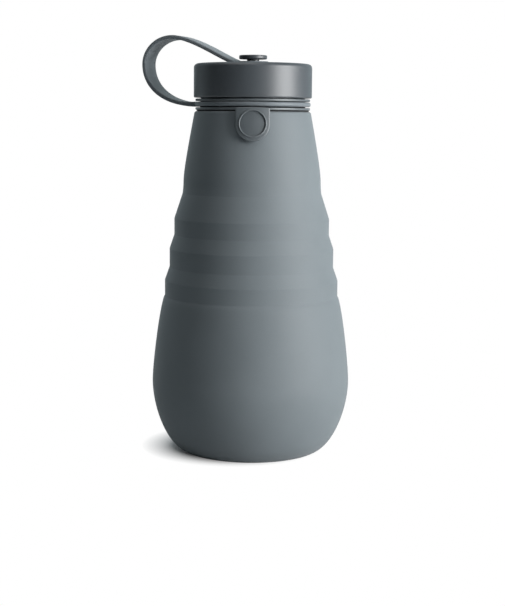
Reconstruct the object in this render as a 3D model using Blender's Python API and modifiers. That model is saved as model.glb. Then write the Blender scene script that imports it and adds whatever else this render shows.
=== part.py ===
# Collapsible water bottle: a one-piece silicone body that folds down at its stepped bands,
# a hard threaded neck, a screw lid and a silicone carry strap.
# Lengths are metres. Z is up, the origin is the centre of the foot, and the front faces -Y.

import math

import bmesh
import bpy
from mathutils import Matrix, Vector

# Clearances
SEAM = 0.0003                    # gap between two pieces that touch
RIM_NEST_GAP = 0.00037           # bowl rim to the first fold ring, when that drops inside
RING_NEST_GAP = 0.00075          # one fold ring to the next
SHOULDER_NEST_GAP = 0.0024       # last fold ring to the shoulder

# Silicone bowl
FOOT_RADIUS = 0.02926
BELLY_RADIUS = 0.0475
BELLY_HEIGHT = 0.0340
BOWL_WALL = 0.0020
RIM_HEIGHT = 0.0660
BOWL_TOP_RADIUS = 0.04175        # where the bowl's curve ends, at the first fold ring
FOOT_CURVE_OUT = 0.0052          # handle of the curve that leaves the foot
FOOT_CURVE_UP = 0.0212           # handle of the curve that reaches the belly
BELLY_CURVE_UP = 0.0070
BOWL_TOP_CURVE = 0.0065
BOWL_TOP_SLOPE = 0.395           # radius lost for each metre of height at the bowl's top

# Folding bands, from the bowl up
FOLD_WALL = 0.0015
WEB_WALL = 0.0012
WEB_1_HEIGHT = 0.0092
RING_1_HEIGHT = 0.0075
WEB_2_HEIGHT = 0.0064
RING_2_HEIGHT = 0.0087
WEB_3_HEIGHT = 0.0067
RING_3_HEIGHT = 0.0077
WEB_4_HEIGHT = 0.0129

# Silicone shoulder
SHOULDER_TOP_MARGIN = 0.0001     # shoulder's top beyond the collar's flanges
SHOULDER_HEIGHT = 0.0380
SHOULDER_WALL = 0.0020
SHOULDER_EDGE = 0.0005
SHOULDER_BASE_CURVE = 0.0095
SHOULDER_TOP_CURVE = 0.0373
SHOULDER_BASE_SLOPE = 0.125
SHOULDER_TOP_SLOPE = 0.189
LIP_THICKNESS = 0.0022           # silicone lip held between the collar and the retaining ring

# Threaded neck sleeve
NECK_BORE_RADIUS = 0.0210
SLEEVE_WALL = 0.0022
SLEEVE_FLANGE_HEIGHT = 0.0008
SLEEVE_HOOK_WIDTH = 0.0010
SLEEVE_HOOK_HEIGHT = 0.0009
RETAINER_HEIGHT = 0.0030

# Two-start thread between sleeve and lid
THREAD_STARTS = 2
THREAD_PITCH = 0.0040
THREAD_DEPTH = 0.0012
THREAD_ROOT_WIDTH = 0.0020
THREAD_CREST_WIDTH = 0.0010
THREAD_RADIAL_GAP = 0.0004
THREAD_SINK = 0.0004             # how far a ridge's root reaches into its wall
THREAD_CLEAR_BELOW = 0.0012      # from the lid's lower edge to the ridges' lowest flank

# Collar with two flanges and a front tab
FLANGE_SETBACK = 0.00055         # flanges inside the lid's side
COLLAR_FOOT_SETBACK = 0.0011     # foot inside the flanges
COLLAR_WALL = 0.0014             # from the bore to the groove's floor
COLLAR_FOOT_HEIGHT = 0.0004
LOWER_FLANGE_HEIGHT = 0.0012
GROOVE_HEIGHT = 0.0028
UPPER_FLANGE_HEIGHT = 0.0011
TAB_WIDTH = 0.0158
TAB_THICKNESS = 0.0017
TAB_CENTRE_DROP = 0.0063         # from the shoulder's top down to the centre of the round end
TAB_TOP_DROP = 0.0002            # the tab's top edge below the lower flange's top
TAB_STAND_OFF = 0.00035          # tab to shoulder
TAB_POCKET_RIM = 0.0015          # from the pocket to the tab's edge
TAB_POCKET_DEPTH = 0.0005

# Lid, whose radius follows from the neck, the thread and these walls
LID_HEIGHT = 0.0155
LID_WALL = 0.0016
LID_TOP_THICKNESS = 0.0015
LID_EDGE_RADIUS = 0.0020
LID_LOWER_CHAMFER = 0.0003
LID_TO_COLLAR = 0.0007
LINER_WALL = 0.00125
LINER_PLATE = 0.0012
LINER_RECESS = 0.0008            # liner's lower edge above the lid's
PLUG_GAP = 0.0007                # plug to the neck's bore
PLUG_WALL = 0.0012
PLUG_DEPTH = 0.0033
SEAL_THICKNESS = 0.0015

# Knob on the lid
KNOB_RADIUS = 0.0066
KNOB_CAP_HEIGHT = 0.0020
KNOB_CAP_EDGE = 0.0005
KNOB_CAP_GAP = 0.0009            # knob to the strap's eye
KNOB_STEM_RADIUS = 0.0029
KNOB_FOOT_RADIUS = 0.0050
KNOB_FOOT_HEIGHT = 0.0010

# Carry strap
STRAP_BEARING = math.radians(160.0)   # loop's direction, measured from +X
STRAP_WIDTH = 0.0125
STRAP_THICKNESS = 0.0018
STRAP_RING_HEIGHT = 0.0017
STRAP_RING_OVERLAP = 0.0011      # loop's end reaches this far into the ring
EYE_RADIUS = 0.0074
EYE_THICKNESS = 0.0010
EYE_STEM_GAP = 0.0003
EYE_ARM_INSET = 0.0008           # the arm's end outside the eye's hole
LOOP_CREST_OUT = 0.0120          # crest beyond the neck ring
LOOP_CREST_RISE = 0.0127         # above the lid's top
LOOP_OUT = 0.0264                # widest point beyond the neck ring
LOOP_REACH_RISE = 0.0            # widest point above the lid's top
ARM_CURVE = 0.0040
CREST_CURVE_IN = 0.0106
CREST_CURVE_OUT = 0.0082
REACH_CURVE_UP = 0.0066
REACH_CURVE_DOWN = 0.0125
RING_CURVE = 0.0147
RING_CURVE_DROP = 0.0009
STRAP_SPLIT_MARGIN = 0.0022      # loop starts this far outside the lid

# Smoothness
TURN_STEPS = 48
KNOB_STEPS = 32
THREAD_STEPS = 36                # for each turn
THREAD_LEAST_STEPS = 8
THREAD_RUN_OUT_STEPS = 4         # over which a ridge grows to its full section
THREAD_RUN_OUT_SIZE = 0.3        # share of the section that it starts with
FOOT_CURVE_STEPS = 7
SIDE_CURVE_STEPS = 28            # fine, since the bowl's rim is read off it
SIDE_STEPS = 5
SHOULDER_STEPS = 8
TAB_ROUND_STEPS = 16
ARM_STEPS = 12
CREST_STEPS = 9
RETURN_STEPS = 12
LID_EDGE_STEPS = 3
KNOB_EDGE_STEPS = 2
SHARP_ANGLE = math.radians(32.0)
WELD = 0.000001
FRAME_DISPLAY_SIZE = 0.01

# Heights that follow from the sizes above
RING_1_BASE = RIM_HEIGHT + WEB_1_HEIGHT
RING_1_TOP = RING_1_BASE + RING_1_HEIGHT
RING_2_BASE = RING_1_TOP + WEB_2_HEIGHT
RING_2_TOP = RING_2_BASE + RING_2_HEIGHT
RING_3_BASE = RING_2_TOP + WEB_3_HEIGHT
RING_3_TOP = RING_3_BASE + RING_3_HEIGHT
SHOULDER_BASE = RING_3_TOP + WEB_4_HEIGHT
SHOULDER_TOP = SHOULDER_BASE + SHOULDER_HEIGHT
LIP_UNDERSIDE = SHOULDER_TOP - LIP_THICKNESS
COLLAR_BASE = SHOULDER_TOP + SEAM
LOWER_FLANGE_BASE = COLLAR_BASE + COLLAR_FOOT_HEIGHT
GROOVE_BASE = LOWER_FLANGE_BASE + LOWER_FLANGE_HEIGHT
GROOVE_TOP = GROOVE_BASE + GROOVE_HEIGHT
COLLAR_TOP = GROOVE_TOP + UPPER_FLANGE_HEIGHT
RETAINER_TOP = LIP_UNDERSIDE - SEAM
RETAINER_BASE = RETAINER_TOP - RETAINER_HEIGHT
SLEEVE_HOOK_TOP = RETAINER_BASE - SEAM
SLEEVE_BASE = SLEEVE_HOOK_TOP - SLEEVE_HOOK_HEIGHT
SLEEVE_FLANGE_BASE = COLLAR_TOP + SEAM
LID_BASE = COLLAR_TOP + LID_TO_COLLAR
LID_TOP = LID_BASE + LID_HEIGHT
LID_CEILING = LID_TOP - LID_TOP_THICKNESS
LINER_TOP = LID_CEILING - SEAM
LINER_BASE = LID_BASE + LINER_RECESS
SEAL_TOP = LINER_TOP - LINER_PLATE - SEAM
SEAL_BASE = SEAL_TOP - SEAL_THICKNESS
NECK_RIM = SEAL_BASE - SEAM
PLUG_BASE = LINER_TOP - LINER_PLATE - PLUG_DEPTH
EYE_BASE = LID_TOP + SEAM
EYE_TOP = EYE_BASE + EYE_THICKNESS
KNOB_CAP_BASE = EYE_TOP + KNOB_CAP_GAP
RING_MIDDLE = GROOVE_BASE + GROOVE_HEIGHT / 2

# Radii that follow from the sizes above
SLEEVE_RADIUS = NECK_BORE_RADIUS + SLEEVE_WALL
COLLAR_BORE = SLEEVE_RADIUS + SEAM
LINER_BORE = SLEEVE_RADIUS + THREAD_DEPTH + THREAD_RADIAL_GAP
LINER_RADIUS = LINER_BORE + LINER_WALL
LID_RADIUS = LINER_RADIUS + SEAM + LID_WALL
PLUG_RADIUS = NECK_BORE_RADIUS - PLUG_GAP
SEAL_INNER_RADIUS = PLUG_RADIUS + SEAM
SEAL_OUTER_RADIUS = LINER_BORE - SEAM
FLANGE_RADIUS = LID_RADIUS - FLANGE_SETBACK
COLLAR_FOOT_RADIUS = FLANGE_RADIUS - COLLAR_FOOT_SETBACK
GROOVE_RADIUS = COLLAR_BORE + COLLAR_WALL
STRAP_RING_BORE = GROOVE_RADIUS + SEAM
STRAP_RING_RADIUS = FLANGE_RADIUS
SLEEVE_FLANGE_RADIUS = STRAP_RING_BORE
SHOULDER_TOP_RADIUS = FLANGE_RADIUS + SHOULDER_TOP_MARGIN
STRAP_SPLIT = LID_RADIUS + STRAP_SPLIT_MARGIN
EYE_HOLE_RADIUS = KNOB_STEM_RADIUS + EYE_STEM_GAP
TAB_POCKET_RADIUS = TAB_WIDTH / 2 - TAB_POCKET_RIM
THREAD_LEAD = THREAD_PITCH * THREAD_STARTS


def clear_scene():
    for old in list(bpy.data.objects):
        bpy.data.objects.remove(old, do_unlink=True)


def new_collection(name):
    collection = bpy.data.collections.new(name)
    bpy.context.scene.collection.children.link(collection)
    return collection


def linear(channel):
    # One 0-255 screen colour channel as a linear value
    value = channel / 255.0
    return value / 12.92 if value <= 0.04045 else ((value + 0.055) / 1.055) ** 2.4


def make_material(name, colour, roughness, metallic=0.0):
    material = bpy.data.materials.new(name)
    material.use_nodes = True
    shader = material.node_tree.nodes["Principled BSDF"]
    shader.inputs["Base Color"].default_value = (*[linear(c) for c in colour], 1.0)
    shader.inputs["Roughness"].default_value = roughness
    shader.inputs["Metallic"].default_value = metallic
    material.diffuse_color = (*[linear(c) for c in colour], 1.0)
    return material


def make_frame(name, collection, height, turn=0.0, parent=None):
    # An empty on the bottle's axis that carries the pieces of one body
    frame = bpy.data.objects.new(name, None)
    collection.objects.link(frame)
    frame.empty_display_size = FRAME_DISPLAY_SIZE
    frame.location = (0.0, 0.0, height)
    frame.rotation_euler = (0.0, 0.0, turn)
    if parent:
        frame.parent = parent
        frame.location.z = height - parent.location.z
    bpy.context.view_layer.update()
    return frame


def place(piece, collection, frame, material):
    # Link a piece to its collection, its frame and its own copy of the material
    collection.objects.link(piece)
    piece.parent = frame
    finish = material.copy()
    finish.name = piece.name + "_finish"
    piece.data.materials.clear()
    piece.data.materials.append(finish)
    bpy.context.view_layer.update()
    return piece


def settle(piece):
    # Apply a piece's modifiers and shade it smooth, with its corners kept sharp
    graph = bpy.context.evaluated_depsgraph_get()
    solid = bpy.data.meshes.new_from_object(piece.evaluated_get(graph))
    solid.name = piece.name
    solid.shade_smooth()
    solid.set_sharp_from_angle(angle=SHARP_ANGLE)
    piece.modifiers.clear()
    piece.data = solid
    return piece


def turned(name, outline, base, steps=TURN_STEPS):
    # Turn an outline of (radius, height) points about Z. It runs down the outer side,
    # and closes on itself unless both its ends lie on the axis.
    mesh = bpy.data.meshes.new(name)
    shape = bmesh.new()
    corners = [shape.verts.new((radius, 0.0, height - base)) for radius, height in outline]
    for first, second in zip(corners, corners[1:]):
        shape.edges.new((first, second))
    on_axis = outline[0][0] == 0.0 and outline[-1][0] == 0.0
    if not on_axis:
        shape.edges.new((corners[-1], corners[0]))
    shape.to_mesh(mesh)
    shape.free()
    piece = bpy.data.objects.new(name, mesh)
    piece.location.z = base
    bpy.context.scene.collection.objects.link(piece)
    screw = piece.modifiers.new("turn", "SCREW")
    screw.axis = "Z"
    screw.angle = 2.0 * math.pi
    screw.steps = steps
    screw.render_steps = steps
    screw.use_merge_vertices = True
    screw.merge_threshold = WELD
    bpy.context.view_layer.update()
    settle(piece)
    bpy.context.scene.collection.objects.unlink(piece)
    return piece


def ring_outline(inner, outer, base, top):
    return [(outer, top), (outer, base), (inner, base), (inner, top)]


def bezier(start, start_handle, end_handle, end, steps):
    points = []
    for step in range(steps + 1):
        t = step / steps
        s = 1.0 - t
        weights = (s * s * s, 3.0 * s * s * t, 3.0 * s * t * t, t * t * t)
        corners = (start, start_handle, end_handle, end)
        points.append(tuple(sum(w * c[axis] for w, c in zip(weights, corners)) for axis in (0, 1)))
    return points


def arc(centre, radius, start, end, steps):
    # Points of an arc in the outline's plane, from one angle to another
    points = []
    for step in range(steps + 1):
        angle = start + (end - start) * step / steps
        points.append((centre[0] + radius * math.cos(angle), centre[1] + radius * math.sin(angle)))
    return points


def radius_at(curve, height):
    # Radius of a rising outline at one height
    for (r0, z0), (r1, z1) in zip(curve, curve[1:]):
        if z0 <= height <= z1:
            share = (height - z0) / (z1 - z0) if z1 > z0 else 0.0
            return r0 + (r1 - r0) * share
    return curve[-1][0] if height > curve[-1][1] else curve[0][0]


def inset(points, distance):
    # Points moved to the left of their path, by one distance
    moved = []
    for index, point in enumerate(points):
        before = points[max(index - 1, 0)]
        after = points[min(index + 1, len(points) - 1)]
        run = Vector((after[0] - before[0], after[1] - before[1])).normalized()
        moved.append((point[0] - run.y * distance, point[1] + run.x * distance))
    return moved


def combine(piece, tool, operation, stage):
    # One Boolean step, after which the tool is gone
    for item in (piece, tool):
        if not item.users_collection:
            stage.objects.link(item)
    bpy.context.view_layer.update()
    step = piece.modifiers.new("combine", "BOOLEAN")
    step.operation = operation
    step.solver = "EXACT"
    step.object = tool
    bpy.context.view_layer.update()
    settle(piece)
    bpy.data.objects.remove(tool, do_unlink=True)
    stage.objects.unlink(piece)
    return piece


def solid_from_curve(curve_object, stage):
    # A curve's surface as a mesh with its caps welded on
    stage.objects.link(curve_object)
    bpy.context.view_layer.update()
    graph = bpy.context.evaluated_depsgraph_get()
    mesh = bpy.data.meshes.new_from_object(curve_object.evaluated_get(graph))
    shape = bmesh.new()
    shape.from_mesh(mesh)
    bmesh.ops.remove_doubles(shape, verts=shape.verts, dist=WELD)
    bmesh.ops.recalc_face_normals(shape, faces=shape.faces)
    shape.to_mesh(mesh)
    shape.free()
    piece = bpy.data.objects.new(curve_object.name, mesh)
    piece.matrix_world = curve_object.matrix_world
    bpy.data.objects.remove(curve_object, do_unlink=True)
    return piece


def flat_outline(name, points, thickness):
    # A flat closed outline in the XY plane, thickened both ways
    curve = bpy.data.curves.new(name, "CURVE")
    curve.dimensions = "2D"
    curve.fill_mode = "BOTH"
    curve.extrude = thickness / 2
    spline = curve.splines.new("POLY")
    spline.points.add(len(points) - 1)
    for corner, (x, y) in zip(spline.points, points):
        corner.co = (x, y, 0.0, 1.0)
    spline.use_cyclic_u = True
    return bpy.data.objects.new(name, curve)


def bowl_curves():
    # Outer curve of the bowl: foot to belly, then belly to the first fold ring
    lower = bezier(
        (FOOT_RADIUS, 0.0),
        (FOOT_RADIUS + FOOT_CURVE_OUT, 0.0),
        (BELLY_RADIUS, BELLY_HEIGHT - FOOT_CURVE_UP),
        (BELLY_RADIUS, BELLY_HEIGHT),
        FOOT_CURVE_STEPS,
    )
    upper = bezier(
        (BELLY_RADIUS, BELLY_HEIGHT),
        (BELLY_RADIUS, BELLY_HEIGHT + BELLY_CURVE_UP),
        (BOWL_TOP_RADIUS + BOWL_TOP_CURVE * BOWL_TOP_SLOPE, RING_1_BASE - BOWL_TOP_CURVE),
        (BOWL_TOP_RADIUS, RING_1_BASE),
        SIDE_CURVE_STEPS,
    )
    return lower, upper


def rim_radius():
    return radius_at(bowl_curves()[1], RIM_HEIGHT)


def ring_radius(number):
    # Outer radius of a fold ring, 1 to 3, each of which passes through the one below it
    first = rim_radius() - BOWL_WALL - RIM_NEST_GAP
    return first - (number - 1) * (FOLD_WALL + RING_NEST_GAP)


def shoulder_base_radius():
    return ring_radius(3) - FOLD_WALL - SHOULDER_NEST_GAP


def make_base_bowl():
    lower, upper = bowl_curves()
    side = []
    for step in range(1, SIDE_STEPS + 1):
        height = BELLY_HEIGHT + (RIM_HEIGHT - BELLY_HEIGHT) * step / SIDE_STEPS
        side.append((radius_at(upper, height), height))
    rising = lower + side
    inner = inset(rising, BOWL_WALL)
    inner[-1] = (side[-1][0] - BOWL_WALL, RIM_HEIGHT)
    floor = (0.0, BOWL_WALL)
    outline = [floor] + inner + list(reversed(rising)) + [(0.0, 0.0)]
    return turned("base_bowl", outline, 0.0)


def make_fold_web(name, lower_radius, upper_radius, base, top, middle_radius=None):
    # The thin slanted wall between two bands
    middle = (lower_radius + upper_radius) / 2 if middle_radius is None else middle_radius
    height = (base + top) / 2
    outline = [
        (upper_radius, top - SEAM),
        (middle, height),
        (lower_radius, base + SEAM),
        (lower_radius - WEB_WALL, base + SEAM),
        (middle - WEB_WALL, height),
        (upper_radius - WEB_WALL, top - SEAM),
    ]
    return turned(name, outline, base)


def make_fold_ring(number, base, top):
    radius = ring_radius(number)
    outline = ring_outline(radius - FOLD_WALL, radius, base, top)
    return turned("fold_ring_%d" % number, outline, base)


def shoulder_curve():
    base_radius = shoulder_base_radius()
    base_handle = (
        base_radius - SHOULDER_BASE_CURVE * SHOULDER_BASE_SLOPE,
        SHOULDER_BASE + SHOULDER_BASE_CURVE,
    )
    top_handle = (
        SHOULDER_TOP_RADIUS + SHOULDER_TOP_CURVE * SHOULDER_TOP_SLOPE,
        SHOULDER_TOP - SHOULDER_TOP_CURVE,
    )
    return bezier(
        (base_radius, SHOULDER_BASE),
        base_handle,
        top_handle,
        (SHOULDER_TOP_RADIUS, SHOULDER_TOP),
        SHOULDER_STEPS,
    )


def make_shoulder():
    curve = shoulder_curve()
    rising = curve[:-1]
    edge_radius = radius_at(curve, SHOULDER_TOP - SHOULDER_EDGE)
    outer = [(edge_radius - SHOULDER_EDGE, SHOULDER_TOP), (edge_radius, SHOULDER_TOP - SHOULDER_EDGE)]
    outer += list(reversed(rising))
    inner = [(radius - SHOULDER_WALL, height) for radius, height in rising if height < LIP_UNDERSIDE]
    inner.append((radius_at(curve, LIP_UNDERSIDE) - SHOULDER_WALL, LIP_UNDERSIDE))
    lip = [(COLLAR_BORE, LIP_UNDERSIDE), (COLLAR_BORE, SHOULDER_TOP)]
    return turned("shoulder", outer + inner + lip, SHOULDER_BASE)


def make_retaining_ring():
    outer = radius_at(shoulder_curve(), LIP_UNDERSIDE) - SHOULDER_WALL - SEAM
    outline = ring_outline(COLLAR_BORE, outer, RETAINER_BASE, RETAINER_TOP)
    return turned("retaining_ring", outline, RETAINER_BASE)


def make_thread_ridge(name, wall_radius, outward, start_turn, start_height, end_height, stage):
    # A helical ridge on a wall, outward (+1) or inward (-1), which runs out at both ends
    section = bpy.data.curves.new(name + "_section", "CURVE")
    section.dimensions = "2D"
    crest = outward * (THREAD_SINK + THREAD_DEPTH)
    corners = [
        (0.0, -THREAD_ROOT_WIDTH / 2),
        (crest, -THREAD_CREST_WIDTH / 2),
        (crest, THREAD_CREST_WIDTH / 2),
        (0.0, THREAD_ROOT_WIDTH / 2),
    ]
    spline = section.splines.new("POLY")
    spline.points.add(len(corners) - 1)
    for corner, (x, y) in zip(spline.points, corners):
        corner.co = (x, y, 0.0, 1.0)
    spline.use_cyclic_u = True
    section_object = bpy.data.objects.new(name + "_section", section)
    section_object.hide_render = True
    section_object.display_type = "WIRE"
    stage.objects.link(section_object)

    path = bpy.data.curves.new(name, "CURVE")
    path.dimensions = "3D"
    path.twist_mode = "Z_UP"
    path.bevel_mode = "OBJECT"
    path.bevel_object = section_object
    path.use_fill_caps = True
    turns = (end_height - start_height) / THREAD_LEAD
    count = max(int(turns * THREAD_STEPS), THREAD_LEAST_STEPS)
    route = path.splines.new("POLY")
    route.points.add(count)
    radius = wall_radius - outward * THREAD_SINK
    for index, point in enumerate(route.points):
        angle = 2.0 * math.pi * (start_turn + turns * index / count)
        height = start_height + (end_height - start_height) * index / count
        point.co = (radius * math.cos(angle), radius * math.sin(angle), height, 1.0)
        run_out = min(index, count - index) / THREAD_RUN_OUT_STEPS
        growth = (1.0 - THREAD_RUN_OUT_SIZE) * run_out
        point.radius = min(1.0, THREAD_RUN_OUT_SIZE + growth)
    ridge = solid_from_curve(bpy.data.objects.new(name, path), stage)
    bpy.data.objects.remove(section_object, do_unlink=True)
    return ridge


def thread_heights(height_limit):
    low = LID_BASE + THREAD_CLEAR_BELOW + THREAD_ROOT_WIDTH / 2
    high = height_limit - THREAD_ROOT_WIDTH / 2
    return low, high


def make_neck_sleeve(stage):
    hook = SLEEVE_RADIUS + SLEEVE_HOOK_WIDTH
    flange_top = SLEEVE_FLANGE_BASE + SLEEVE_FLANGE_HEIGHT
    outline = [
        (SLEEVE_RADIUS, NECK_RIM),
        (SLEEVE_RADIUS, flange_top),
        (SLEEVE_FLANGE_RADIUS, flange_top),
        (SLEEVE_FLANGE_RADIUS, SLEEVE_FLANGE_BASE),
        (SLEEVE_RADIUS, SLEEVE_FLANGE_BASE),
        (SLEEVE_RADIUS, SLEEVE_HOOK_TOP),
        (hook, SLEEVE_HOOK_TOP),
        (SLEEVE_RADIUS, SLEEVE_BASE),
        (NECK_BORE_RADIUS, SLEEVE_BASE),
        (NECK_BORE_RADIUS, NECK_RIM),
    ]
    sleeve = turned("neck_sleeve", outline, 0.0)
    low, high = thread_heights(NECK_RIM - SEAM)
    for start in range(THREAD_STARTS):
        ridge = make_thread_ridge(
            "neck_thread_%d" % start, SLEEVE_RADIUS, 1, start / THREAD_STARTS, low, high, stage
        )
        combine(sleeve, ridge, "UNION", stage)
    return sleeve


def tab_heights():
    # Centre of the tab's round end, and its straight top edge
    return SHOULDER_TOP - TAB_CENTRE_DROP, GROOVE_BASE - TAB_TOP_DROP


def tab_seat():
    # Placing of the tab: it lies along the shoulder's slope, a little off its front
    curve = shoulder_curve()
    centre_height = tab_heights()[0]
    foot_height = centre_height - TAB_WIDTH / 2
    foot_radius = radius_at(curve, foot_height)
    top_radius = radius_at(curve, SHOULDER_TOP)
    run = Vector((0.0, foot_radius - top_radius, SHOULDER_TOP - foot_height))
    slope = run.normalized()
    outward = Vector((0.0, -slope.z, slope.y))
    share = (centre_height - foot_height) / run.z
    chord_radius = foot_radius - run.y * share
    centre = Vector((0.0, -chord_radius, centre_height))
    centre += outward * (TAB_STAND_OFF + TAB_THICKNESS / 2)
    axes = Matrix((Vector((1.0, 0.0, 0.0)), slope, outward)).transposed().to_4x4()
    return Matrix.Translation(centre) @ axes


def tab_rise(seat):
    # Length of the tab from its centre to its top edge, along the slope
    centre_height, top_height = tab_heights()
    return (top_height - centre_height) / seat.col[1].z


def make_tab(seat, stage):
    half = TAB_WIDTH / 2
    rise = tab_rise(seat)
    points = [(half, rise), (-half, rise)]
    points += arc((0.0, 0.0), half, math.pi, 2.0 * math.pi, TAB_ROUND_STEPS)
    tab = flat_outline("tab", points, TAB_THICKNESS)
    tab.matrix_world = seat
    return solid_from_curve(tab, stage)


def make_tab_bridge(seat):
    # A short block joins the tab's top to the flange
    back = -(COLLAR_FOOT_RADIUS - SEAM)
    front = (seat @ Vector((0.0, tab_rise(seat), 0.0))).y
    height = tab_heights()[1] - LOWER_FLANGE_BASE
    mesh = bpy.data.meshes.new("bridge")
    shape = bmesh.new()
    bmesh.ops.create_cube(shape, size=1.0)
    shape.to_mesh(mesh)
    shape.free()
    mesh.transform(Matrix.Diagonal((TAB_WIDTH - SEAM, back - front, height, 1.0)))
    bridge = bpy.data.objects.new("bridge", mesh)
    bridge.location = (0.0, (back + front) / 2, LOWER_FLANGE_BASE + height / 2)
    return bridge


def make_tab_pocket(seat):
    # The tool that cuts the round pocket, half of it above the tab's face
    mesh = bpy.data.meshes.new("pocket")
    shape = bmesh.new()
    bmesh.ops.create_cone(
        shape,
        cap_ends=True,
        segments=KNOB_STEPS,
        radius1=TAB_POCKET_RADIUS,
        radius2=TAB_POCKET_RADIUS,
        depth=TAB_POCKET_DEPTH * 2,
    )
    shape.to_mesh(mesh)
    shape.free()
    pocket = bpy.data.objects.new("pocket", mesh)
    pocket.matrix_world = seat @ Matrix.Translation((0.0, 0.0, TAB_THICKNESS / 2))
    return pocket


def make_neck_collar(stage):
    outline = [
        (FLANGE_RADIUS, COLLAR_TOP),
        (FLANGE_RADIUS, GROOVE_TOP),
        (GROOVE_RADIUS, GROOVE_TOP),
        (GROOVE_RADIUS, GROOVE_BASE),
        (FLANGE_RADIUS, GROOVE_BASE),
        (FLANGE_RADIUS, LOWER_FLANGE_BASE),
        (COLLAR_FOOT_RADIUS, LOWER_FLANGE_BASE),
        (COLLAR_FOOT_RADIUS, COLLAR_BASE),
        (COLLAR_BORE, COLLAR_BASE),
        (COLLAR_BORE, COLLAR_TOP),
    ]
    collar = turned("neck_collar", outline, 0.0)
    seat = tab_seat()
    combine(collar, make_tab(seat, stage), "UNION", stage)
    combine(collar, make_tab_bridge(seat), "UNION", stage)
    return combine(collar, make_tab_pocket(seat), "DIFFERENCE", stage)


def make_lid_shell():
    hole = KNOB_STEM_RADIUS + SEAM
    edge_centre = (LID_RADIUS - LID_EDGE_RADIUS, LID_TOP - LID_EDGE_RADIUS)
    outline = [(hole, LID_TOP)]
    outline += arc(edge_centre, LID_EDGE_RADIUS, math.pi / 2, 0.0, LID_EDGE_STEPS)
    outline += [
        (LID_RADIUS, LID_BASE + LID_LOWER_CHAMFER),
        (LID_RADIUS - LID_LOWER_CHAMFER, LID_BASE),
        (LID_RADIUS - LID_WALL, LID_BASE),
        (LID_RADIUS - LID_WALL, LID_CEILING),
        (hole, LID_CEILING),
    ]
    return turned("lid_shell", outline, LID_BASE)


def make_lid_liner(stage):
    # Threaded skirt, plate under the lid's top, and a plug that enters the neck
    plate_underside = LINER_TOP - LINER_PLATE
    plug_floor = PLUG_BASE + LINER_PLATE
    outline = [
        (0.0, plug_floor),
        (PLUG_RADIUS - PLUG_WALL, plug_floor),
        (PLUG_RADIUS - PLUG_WALL, LINER_TOP),
        (LINER_RADIUS, LINER_TOP),
        (LINER_RADIUS, LINER_BASE),
        (LINER_BORE, LINER_BASE),
        (LINER_BORE, plate_underside),
        (PLUG_RADIUS, plate_underside),
        (PLUG_RADIUS, PLUG_BASE),
        (0.0, PLUG_BASE),
    ]
    liner = turned("lid_liner", outline, 0.0)
    low, high = thread_heights(SEAL_BASE - SEAM)
    # The lid's ridges run midway between the neck's
    half_pitch_turn = THREAD_PITCH / 2 / THREAD_LEAD
    for start in range(THREAD_STARTS):
        first_turn = start / THREAD_STARTS - half_pitch_turn
        ridge = make_thread_ridge("lid_thread_%d" % start, LINER_BORE, -1, first_turn, low, high, stage)
        combine(liner, ridge, "UNION", stage)
    return liner


def make_lid_seal():
    outline = ring_outline(SEAL_INNER_RADIUS, SEAL_OUTER_RADIUS, SEAL_BASE, SEAL_TOP)
    return turned("lid_seal", outline, SEAL_BASE)


def make_lid_knob():
    cap_top = KNOB_CAP_BASE + KNOB_CAP_HEIGHT
    foot_top = LID_CEILING - SEAM
    foot_base = foot_top - KNOB_FOOT_HEIGHT
    edge_centre = (KNOB_RADIUS - KNOB_CAP_EDGE, cap_top - KNOB_CAP_EDGE)
    outline = [(0.0, cap_top)]
    outline += arc(edge_centre, KNOB_CAP_EDGE, math.pi / 2, 0.0, KNOB_EDGE_STEPS)
    outline += [
        (KNOB_RADIUS, KNOB_CAP_BASE),
        (KNOB_STEM_RADIUS, KNOB_CAP_BASE),
        (KNOB_STEM_RADIUS, foot_top),
        (KNOB_FOOT_RADIUS, foot_top),
        (KNOB_FOOT_RADIUS, foot_base),
        (0.0, foot_base),
    ]
    return turned("lid_knob", outline, foot_base, KNOB_STEPS)


def strap_route():
    # Centre line of the loop as (reach, height), from the lid's eye out and back to the ring
    eye = (EYE_RADIUS, (EYE_BASE + EYE_TOP) / 2)
    crest = (STRAP_RING_RADIUS + LOOP_CREST_OUT, LID_TOP + LOOP_CREST_RISE)
    widest = (STRAP_RING_RADIUS + LOOP_OUT, LID_TOP + LOOP_REACH_RISE)
    ring = (STRAP_RING_RADIUS - STRAP_RING_OVERLAP, RING_MIDDLE)
    eye_handle = (eye[0] + ARM_CURVE, eye[1])
    crest_handle_in = (crest[0] - CREST_CURVE_IN, crest[1])
    crest_handle_out = (crest[0] + CREST_CURVE_OUT, crest[1])
    widest_handle_up = (widest[0], widest[1] + REACH_CURVE_UP)
    widest_handle_down = (widest[0], widest[1] - REACH_CURVE_DOWN)
    ring_handle = (ring[0] + RING_CURVE, ring[1] - RING_CURVE_DROP)
    arm = bezier(eye, eye_handle, crest_handle_in, crest, ARM_STEPS)
    turn = bezier(crest, crest_handle_out, widest_handle_up, widest, CREST_STEPS)
    back = bezier(widest, widest_handle_down, ring_handle, ring, RETURN_STEPS)
    start = (EYE_HOLE_RADIUS + EYE_ARM_INSET, eye[1])
    return [start] + arm + turn[1:] + back[1:]


def split_at(points, reach):
    # A route cut at its first crossing of one reach, as the part before and the part after
    for index, (first, second) in enumerate(zip(points, points[1:])):
        if first[0] <= reach < second[0]:
            share = (reach - first[0]) / (second[0] - first[0])
            cut = (reach, first[1] + (second[1] - first[1]) * share)
            return points[: index + 1] + [cut], [cut] + points[index + 1:]
    return points, []


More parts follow.
